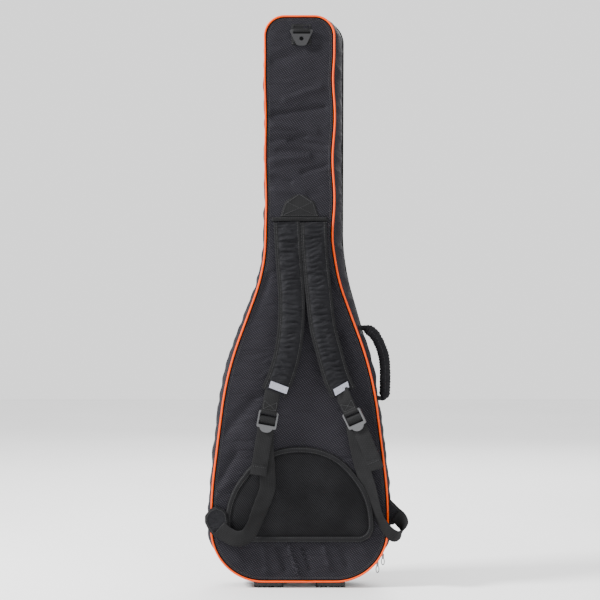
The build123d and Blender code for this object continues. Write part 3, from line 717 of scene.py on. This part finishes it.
# The hanger's webbing is sewn down below and wraps the ring's top bar.
RING_X, RING_Y, RING_Z, WRAP_R = 0.004, -0.0518, 1.181, 0.0036
turns = np.linspace(math.radians(-60), math.radians(250), 22)
around_bar = [(RING_X, RING_Y - WRAP_R * math.sin(t), RING_Z + WRAP_R * math.cos(t)) for t in turns]
stitched = [(RING_X, BACK - 0.0030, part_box("hanger_webbing")[0].z), (RING_X, BACK - 0.0032, RING_Z - 0.010)]
loop_path = resample(np.vstack([stitched, around_bar[::-1]]), 46)
hanger_loop = ribbon("hanger_loop", loop_path, (1, 0, 0), 0.034, 0.0013, [WEBBING])
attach(hanger_loop, "back_shell")
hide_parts("hanger_webbing")

# ---------- shoulder straps
STRAP_ROUTES = {
    "left": [(-0.0285, 0.800), (-0.023, 0.704), (-0.017, 0.621), (-0.018, 0.555), (-0.026, 0.496),
             (-0.040, 0.448), (-0.054, 0.415)],
    "right": [(0.0285, 0.800), (0.033, 0.704), (0.041, 0.621), (0.049, 0.555), (0.064, 0.496), (0.078, 0.448),
              (0.093, 0.415)],
}
STRAP_INNER = [(-0.0476, 0.800), (-0.050, 0.704), (-0.054, 0.621), (-0.0565, 0.540), (-0.0575, 0.410)]
STRAP_OUTER = [(-0.052, 0.800), (-0.062, 0.704), (-0.067, 0.621), (-0.0695, 0.540), (-0.069, 0.410)]
STRAP_TOP, STRAP_WIDTH = 0.777, 0.056
BOUND = 0.70            # share of the half width where the binding starts


def depth_at(profile, z):
    """Depth at a height, from a list of (depth, height) going down."""
    depths, heights = np.array(profile)[::-1].T
    return np.interp(z, heights, depths)


def strap(side, route):
    """Padded strap: flat bound edges, and a puffy middle drawn up into gathers."""
    line = spline(route, 260)
    line = line[line[:, 1] < STRAP_TOP]
    run = units(np.gradient(line, axis=0))
    across = np.column_stack([-run[:, 1], run[:, 0]])
    columns = [*np.linspace(-1, -0.74, 4), *np.linspace(-0.68, 0.68, 17), *np.linspace(0.74, 1, 4)]
    seed = 2.0 if side == "left" else 7.0
    rings = []
    travelled = 0.0
    for i, ((x, z), (a, b)) in enumerate(zip(line, across)):
        if i:
            travelled += float(np.linalg.norm(line[i] - line[i - 1]))
        inner, outer = depth_at(STRAP_INNER, z), depth_at(STRAP_OUTER, z)
        middle, half = (inner + outer) / 2, (inner - outer) / 2
        end = min(1.0, (len(line) - 1 - i) / 9, 0.35 + i / 40)
        front, rear = [], []
        for u in columns:
            px, pz = x + a * u * STRAP_WIDTH / 2, z + b * u * STRAP_WIDTH / 2
            puff = max(0.0, 1 - (abs(u) / 0.72) ** 3) ** 0.6 * math.sqrt(max(end, 0.02))
            wander = noise.noise(Vector((u * 1.3 + seed, travelled * 26, seed)))
            gather = math.sin(travelled * 620 + wander * 4 + u * 0.8) * 0.0012
            fold = noise.noise(Vector((u * 0.9 + seed, travelled * 130, seed))) * 0.0042
            lump = (gather + fold) * puff
            edge = 0.0011 + 0.0003 * math.sin(travelled * 900 + u)
            out_y = middle - max(edge, (half - 0.0014) * puff) + (lump if puff > 0.05 else 0)
            in_y = middle + max(edge, (half - 0.0008) * puff) - (0.4 * lump if puff > 0.05 else 0)
            front.append((px, max(out_y, outer), pz))
            rear.append((px, min(in_y, inner), pz))
        rings.append(front + rear[::-1])
    bound = [1 if abs(u) > BOUND else 0 for u in columns]
    bound = bound + bound[::-1]
    piece = loft(f"strap_{side}_padded", rings, [STRAP, BINDING], [bound] * len(rings), caps=True)
    rows = []
    for sign in (-1, 1):
        u = sign * 0.80
        middle = (depth_at(STRAP_INNER, line[:, 1]) + depth_at(STRAP_OUTER, line[:, 1])) / 2
        path = np.column_stack([line[:, 0] + across[:, 0] * u * STRAP_WIDTH / 2, middle - 0.0013,
                                line[:, 1] + across[:, 1] * u * STRAP_WIDTH / 2])
        rows.append(stitches(f"strap_{side}_stitches_{sign + 1}", path, (0, -1, 0)))
    for item in (piece, *rows):
        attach(item, f"strap_{side}")
    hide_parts(f"strap_pad_{side}")


for side, route in STRAP_ROUTES.items():
    strap(side, route)
    repaint(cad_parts[f"reflective_patch_{side}"], REFLECTIVE)

# ---------- buckles, stubs and webbing
# Middle of each buckle, with its directions across and out of its face.
LOCKS = {
    "left": ((-0.0675, -0.0645, 0.3585), (0.983, 0, -0.184), (0, -1, 0)),
    "right": ((0.1155, -0.067, 0.361), (0.835, -0.375, 0.402), (-0.338, -0.927, -0.163)),
}
BAR_UP = 0.0156         # from the middle of the buckle to its top bar
WRAP_BAR = 0.0037       # radius of the webbing's middle round that bar
# Each lower webbing's line, and the direction across it at each of those points.
LOWER_PATHS = {
    "left": ([(-0.0720, -0.0570, 0.345), (-0.0715, -0.0560, 0.300), (-0.0685, -0.0560, 0.255),
              (-0.0676, -0.0562, 0.2145), (-0.0784, -0.0570, 0.1827), (-0.0890, -0.0585, 0.155),
              (-0.0994, -0.0610, 0.1300), (-0.1134, -0.0625, 0.1120), (-0.1340, -0.0625, 0.1080),
              (-0.1560, -0.0610, 0.1180), (-0.1700, -0.0600, 0.1300)],
             [(1, 0, 0), (1, 0, 0), (1, 0, 0.05), (0.99, 0, -0.10), (0.94, 0, -0.33), (0.93, 0.05, -0.37),
              (0.87, 0.10, -0.49), (0.53, 0.15, -0.85), (-0.10, 0.15, -1.0), (-0.50, 0.10, -0.85),
              (-0.65, 0, -0.76)]),
    "right": ([(0.1150, -0.0590, 0.345), (0.1255, -0.0572, 0.290), (0.1365, -0.0565, 0.245),
               (0.1460, -0.0565, 0.218), (0.1543, -0.0570, 0.1913), (0.1643, -0.0580, 0.1617),
               (0.1757, -0.0605, 0.1394), (0.1895, -0.0640, 0.1210), (0.2030, -0.0640, 0.1130),
               (0.2150, -0.0600, 0.1190), (0.2195, -0.0540, 0.1325), (0.2140, -0.0490, 0.1460),
               (0.2030, -0.0460, 0.1560)],
              [(0.90, -0.2, 0.38), (0.92, -0.1, 0.36), (0.92, 0, 0.36), (0.91, 0, 0.38), (0.90, 0, 0.40),
               (0.88, -0.05, 0.46), (0.78, -0.30, 0.52), (0.50, -0.68, 0.52), (0.32, -0.78, 0.54),
               (0.30, -0.70, 0.65), (0.33, -0.55, 0.77), (0.38, -0.35, 0.86), (0.42, -0.20, 0.88)]),
}
# The tail's line: out of the buckle's face, up from its middle, and share of the sway.
TAIL = [(-0.0034, 0.009, 0), (0.0006, 0.0062, 0), (0.0026, 0.0015, 0), (0.0012, -0.0045, 0),
        (-0.0036, -0.0115, 0), (-0.0037, -0.026, 0), (-0.0022, -0.050, 0), (-0.0008, -0.085, 0.5),
        (-0.0004, -0.119, 1)]
TAIL_SWAY = {"left": (0.002, 0.0015), "right": (-0.004, 0.002)}


def varying(values, samples):
    """Directions that turn evenly along a path."""
    return units(spline(values, samples))


for side, (centre, across, out) in LOCKS.items():
    centre, across, out = np.array(centre), unit(np.array(across, float)), unit(np.array(out, float))
    up = np.cross(out, across)
    repaint(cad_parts[f"ladder_lock_{side}"], PLASTIC)

    # Stub: stitched flat to the strap's end, then round the buckle's top bar.
    bar = centre + up * BAR_UP
    turn = [bar + WRAP_BAR * (up * math.sin(t) + out * math.cos(t))
            for t in np.linspace(math.radians(60), math.radians(-235), 20)]
    flat = [bar + up * h + out * lift
            for h, lift in ((0.052, -0.0015), (0.036, 0.0006), (0.026, 0.0016), (0.010, 0.0016))]
    stub_path = resample(np.vstack([flat, turn]), 60)
    stub = ribbon(f"strap_{side}_stub", stub_path, across, WEB_WIDTH - 0.001, 0.0015, [WEBBING])
    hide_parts(f"strap_webbing_{side}")
    box_x, box_low, box_high = 0.0135, 0.006, 0.024
    corners = [bar + across * sx * box_x + up * h + out * 0.0026 for sx, h in
               ((-1, box_low), (1, box_high), (1, box_low), (-1, box_high), (-1, box_low), (1, box_low))]
    cross = stitches(f"strap_{side}_cross_stitches", corners, out, 0.0030, 0.0022, 0.0004)
    for piece in (stub, cross):
        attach(piece, f"strap_{side}")

    # Tail: over the middle bar and hanging free in front, its end folded back and sewn.
    sway = np.array((TAIL_SWAY[side][0], TAIL_SWAY[side][1], 0.0))
    tail_points = [centre + out * lift + up * h + sway * swayed for lift, h, swayed in TAIL]
    tail_path = spline(tail_points, 90)
    tail = ribbon(f"tail_{side}", tail_path, across, WEB_WIDTH, WEB_THICK, [WEBBING], 0.0002)
    hem = ribbon(f"tail_{side}_hem", tail_path[-16:] + out * 0.0017, across, WEB_WIDTH, WEB_THICK, [WEBBING])
    on_hem = tail_path[-13] + out * 0.0028
    hem_row = stitches(f"tail_{side}_hem_stitches", [on_hem - across * 0.0145, on_hem + across * 0.0145], out)
    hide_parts(f"webbing_tail_{side}")
    for piece in (tail, hem, hem_row):
        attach(piece, f"lock_{side}")

    # Lower webbing: from the buckle, down and round into the wing on the bag's side.
    points, sides = LOWER_PATHS[side]
    path = spline(points, 120)
    lower = ribbon(f"lower_{side}", path, varying(sides, 120), WEB_WIDTH, WEB_THICK, [WEBBING])
    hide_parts(f"lower_webbing_{side}")
    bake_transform(lower)

# ---------- side wings
# Corners, the depth of the wing's rear face and its thickness.
WINGS = {
    "left": ([(-0.1620, 0.1690), (-0.1760, 0.1755), (-0.1897, 0.1690), (-0.2003, 0.1550), (-0.2003, 0.1403),
              (-0.1929, 0.1254), (-0.1834, 0.1138), (-0.1643, 0.1063), (-0.1480, 0.1085), (-0.1400, 0.1180),
              (-0.1495, 0.1360), (-0.1537, 0.1615)], BACK - 0.0082, 0.0050),
    "right": ([(0.1817, 0.2003), (0.1950, 0.1854), (0.2220, 0.1587), (0.1995, 0.1335), (0.1876, 0.1335)],
              -0.0375, 0.0055),
}
for side, (corners, base, rise) in WINGS.items():
    loop = polygon(corners, 140)
    profile = [(0, 0, 0), (0.0004, rise * 0.55, 0), (0.002, rise * 0.85, 0), (0.0055, rise, 1),
               (0.007, rise * 0.92, 1)]
    wing = pillow(f"wing_{side}", loop, base, -1, profile, [BINDING, STRAP], 0.022, 10, 0.0006, 0.0012)
    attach(wing, "back_shell")
    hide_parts(f"strap_wing_{side}")
    row = stitches(f"wing_{side}_stitches", at_depth(shrink(loop, 0.0045), base - rise - 0.0002), (0, -1, 0),
                   closed=True)
    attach(row, "back_shell")

# ---------- carry handle
handle_path = at_depth(spline(HANDLE, 200), HANDLE_Y)
share = np.linspace(0, 1, 200)
grip_r = 0.0050 + 0.0065 * smooth(0.02, 0.12, share) * (1 - smooth(0.92, 0.99, share))
for gathers in (0.0005 * np.sin(share * 2 * math.pi * 30),
                np.array([0.0008 * noise.noise(Vector((s * 22, 0.3, 4.0))) for s in share])):
    grip_r = grip_r + gathers * (grip_r > 0.006)
grip = tube("handle_padded_grip", handle_path, grip_r, [STRAP], 20)
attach(grip, "handle")
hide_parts("handle_grip", "handle_webbing")
# Each end of the handle is sewn to the side wall under a folded tab.
for name, end, inside in (("upper", HANDLE[0], (-0.0165, -0.0060)), ("lower", HANDLE[-1], (-0.0170, 0.0035))):
    end_point = np.array((end[0], HANDLE_Y, end[1]))
    root = end_point + (inside[0], 0, inside[1])
    tab_path = spline([root, (root + end_point) / 2, end_point], 16)
    tab = ribbon(f"handle_{name}_tab", tab_path, (0, 1, 0), 0.021, 0.0085, [WEBBING])
    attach(tab, "back_shell")
on_grip = handle_path - grip_r[:, None] * (0, 1, 0)
seam_row = stitches("handle_seam_stitches", on_grip[20:-20], (0, -1, 0))
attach(seam_row, "handle")

# ---------- pockets on the lid
BODY_POCKET = [(0.150, 0.040, 0.080), (0.152, 0.200, 0.400), (0.128, 0.430, 0.040)]
NECK_POCKET = [(0.054, 0.700, 0.012), (0.054, 1.090, 0.012)]
for name, stations, margin in (("body", BODY_POCKET, 0.120), ("neck", NECK_POCKET, 0.050)):
    loop = outline(stations, 150)
    profile = [(-0.002, 0.0, 0), (-0.002, 0.0020, 0), (0.0, 0.0034, 0), (0.0010, 0.0060, 1), (0.0016, 0.0105, 1),
               (0.0040, 0.0130, 1), (0.009, 0.0138, 1)]
    pocket = pillow(f"{name}_pocket_padded", loop, FRONT, 1, profile, [BINDING, FABRIC], margin, 18, -0.0002, 0.0)
    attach(pocket, "lid")
    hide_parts(f"{name}_pocket")
    row = stitches(f"{name}_pocket_stitches", at_depth(shrink(loop, 0.0075), FRONT + 0.0139), (0, 1, 0),
                   closed=True)
    low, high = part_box(f"{name}_pocket_zip")
    middle, on_tape = (low + high) / 2, low.y + 0.0003
    if high.z - low.z > high.x - low.x:
        start, end, across_zip = (middle.x, on_tape, low.z), (middle.x, on_tape, high.z), (1, 0, 0)
    else:
        start, end, across_zip = (low.x, on_tape, middle.z), (high.x, on_tape, middle.z), (0, 0, 1)
    zip_path = np.linspace(start, end, 60)
    tape = ribbon(f"{name}_pocket_tape", zip_path, across_zip, 0.0125, 0.0009, [TAPE])
    coil = tube(f"{name}_pocket_coil", zip_path + (0, 0.0008, 0), 0.0011, [COIL], 8)
    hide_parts(f"{name}_pocket_zip")
    edges = []
    for number, sign in enumerate((-1, 1)):
        line = zip_path + np.array(across_zip) * 0.0050 * sign + (0, 0.0005, 0)
        edges.append(stitches(f"{name}_pocket_zip_stitches_{number}", line, (0, 1, 0)))
    for piece in (row, tape, coil, *edges):
        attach(piece, "lid")

# ---------- inside the back shell
low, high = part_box("neck_cradle")
# The notch for the neck: half widths, and shares of the cradle's height.
NOTCH = [(0.030, 1.0), (0.029, 0.72), (0.022, 0.55), (0.010, 0.46)]
notch = [*NOTCH, (0.0, 0.45), *[(-x, share) for x, share in reversed(NOTCH)]]
left, right = low.x + 0.001, high.x - 0.001
cradle_section = polygon([(left, low.y), (right, low.y), (right, high.y), (0.033, high.y),
                          *[(x, low.y + (high.y - low.y) * share - 0.0005) for x, share in notch],
                          (-0.033, high.y), (left, high.y)], 200)
cradle_rings = []
for height, inset in ((0, 0.004), (0.002, 0.0012), (0.005, 0), (0.035, -0.0004), (0.065, -0.0004), (0.065, 0),
                      (0.068, 0.0012), (0.070, 0.004)):
    ring = shrink(cradle_section, inset)
    cradle_rings.append(np.column_stack([ring, np.full(len(ring), low.z + height)]))
cradle = loft("neck_cradle_padded", cradle_rings, [LINING], caps=True)
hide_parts("neck_cradle")
low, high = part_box("neck_tie")
tie_y, tie_z = high.y - 0.0006, (low.z + high.z) / 2
tie_path = np.linspace((low.x, tie_y, tie_z), (high.x, tie_y, tie_z), 40)
tie = ribbon("neck_tie_webbing", tie_path, (0, 0, 1), high.z - low.z, 0.0014, [WEBBING], 0.0002)
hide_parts("neck_tie")
low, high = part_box("endpin_pad")
pad_loop = outline([(high.x - 0.001, low.z, 0.006), (high.x - 0.001, high.z, 0.006)], 60)
depth = high.y - low.y
pad_edge = [(0, 0, 0), (0, depth - 0.004, 0), (0.0012, depth - 0.0012, 0), (0.004, depth, 0)]
pad = pillow("endpin_padded", pad_loop, low.y, 1, pad_edge, [LINING], 0.0095, 6, 0.0004)
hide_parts("endpin_pad")
for piece, slot in ((cradle, "lining"), (tie, "webbing"), (pad, "lining")):
    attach(piece, "back_shell")

# ---------- CAD parts that stay as they are
FINISHES = {"foot": RUBBER, "hanger_ring": DARK_PLASTIC, "zip_slider": METAL, "zip_pull": METAL,
            "body_pocket_slider": METAL, "body_pocket_pull": METAL,
            "neck_pocket_slider": METAL, "neck_pocket_pull": METAL}
for name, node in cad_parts.items():
    for prefix, material in FINISHES.items():
        if name.startswith(prefix):
            repaint(node, material)

# ---------- floor, light and camera
FLOOR = 6.0             # half its width
floor_mesh = bpy.data.meshes.new("floor")
floor_mesh.from_pydata([(-FLOOR, -FLOOR, 0), (FLOOR, -FLOOR, 0), (FLOOR, FLOOR, 0), (-FLOOR, FLOOR, 0)], [],
                       [(0, 1, 2, 3)])
floor = bpy.data.objects.new("floor", floor_mesh)
floor_material, tree, surface, add = shader("pale floor", 0.6)
soft = cloudy(add, 1.2, 2.0)
pale = ramp(add, soft, [(0.3, grey(0.86)), (0.7, grey(0.90))])
finish_surface(tree, surface, add, pale, [(soft, 0.02, 0.001)])
floor_mesh.materials.append(floor_material)
bpy.context.scene.collection.objects.link(floor)

world = bpy.data.worlds.new("studio")
world.use_nodes = True
world.node_tree.nodes["Background"].inputs["Color"].default_value = (1.0, 1.0, 1.0, 1)
world.node_tree.nodes["Background"].inputs["Strength"].default_value = 1.5
bpy.context.scene.world = world


def softbox(name, place, target, size, power):
    """Square soft light aimed at a point."""
    light = bpy.data.lights.new(name, "AREA")
    light.size, light.energy = size, power
    holder = bpy.data.objects.new(name, light)
    away = Vector(place) - Vector(target)
    holder.matrix_world = Matrix.Translation(place) @ away.to_track_quat("Z", "Y").to_matrix().to_4x4()
    bpy.context.scene.collection.objects.link(holder)


MIDDLE = (0.0, 0.0, 0.6)
softbox("key", (-2.4, -0.8, 2.3), MIDDLE, 0.6, 240)
softbox("fill", (2.2, -2.0, 1.2), MIDDLE, 1.4, 14)
softbox("behind", (0.6, 2.4, 2.0), MIDDLE, 1.6, 60)

camera = bpy.data.objects.new("camera", bpy.data.cameras.new("camera"))
camera.data.lens, camera.data.sensor_width = 90.0, 36.0
camera.location = (0.001, -3.225, 0.611)
camera.rotation_euler = (math.pi / 2, 0, 0)
bpy.context.scene.collection.objects.link(camera)
bpy.context.scene.camera = camera
